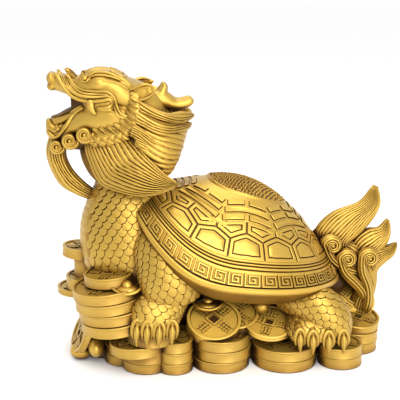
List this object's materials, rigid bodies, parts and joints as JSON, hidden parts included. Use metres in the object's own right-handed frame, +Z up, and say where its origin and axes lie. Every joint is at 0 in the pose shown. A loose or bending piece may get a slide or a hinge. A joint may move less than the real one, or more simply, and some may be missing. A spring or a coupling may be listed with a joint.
{
  "type": "dragon turtle figure",
  "caption": "Cast brass dragon turtle with a raised head, swept mane, patterned shell and flame tail, standing on its own heap of coins.",
  "frame": {"origin": "middle of the flat underside of the coin heap", "axes": "+Z up, the head looks along -X and the tail is at +X"},
  "size_m": [0.267, 0.139, 0.216],
  "materials": {
    "brass": "antique gold, satin, darker in its recesses"
  },
  "bodies": {
    "root": {"dragon_turtle": "brass"}
  },
  "joints": []
}
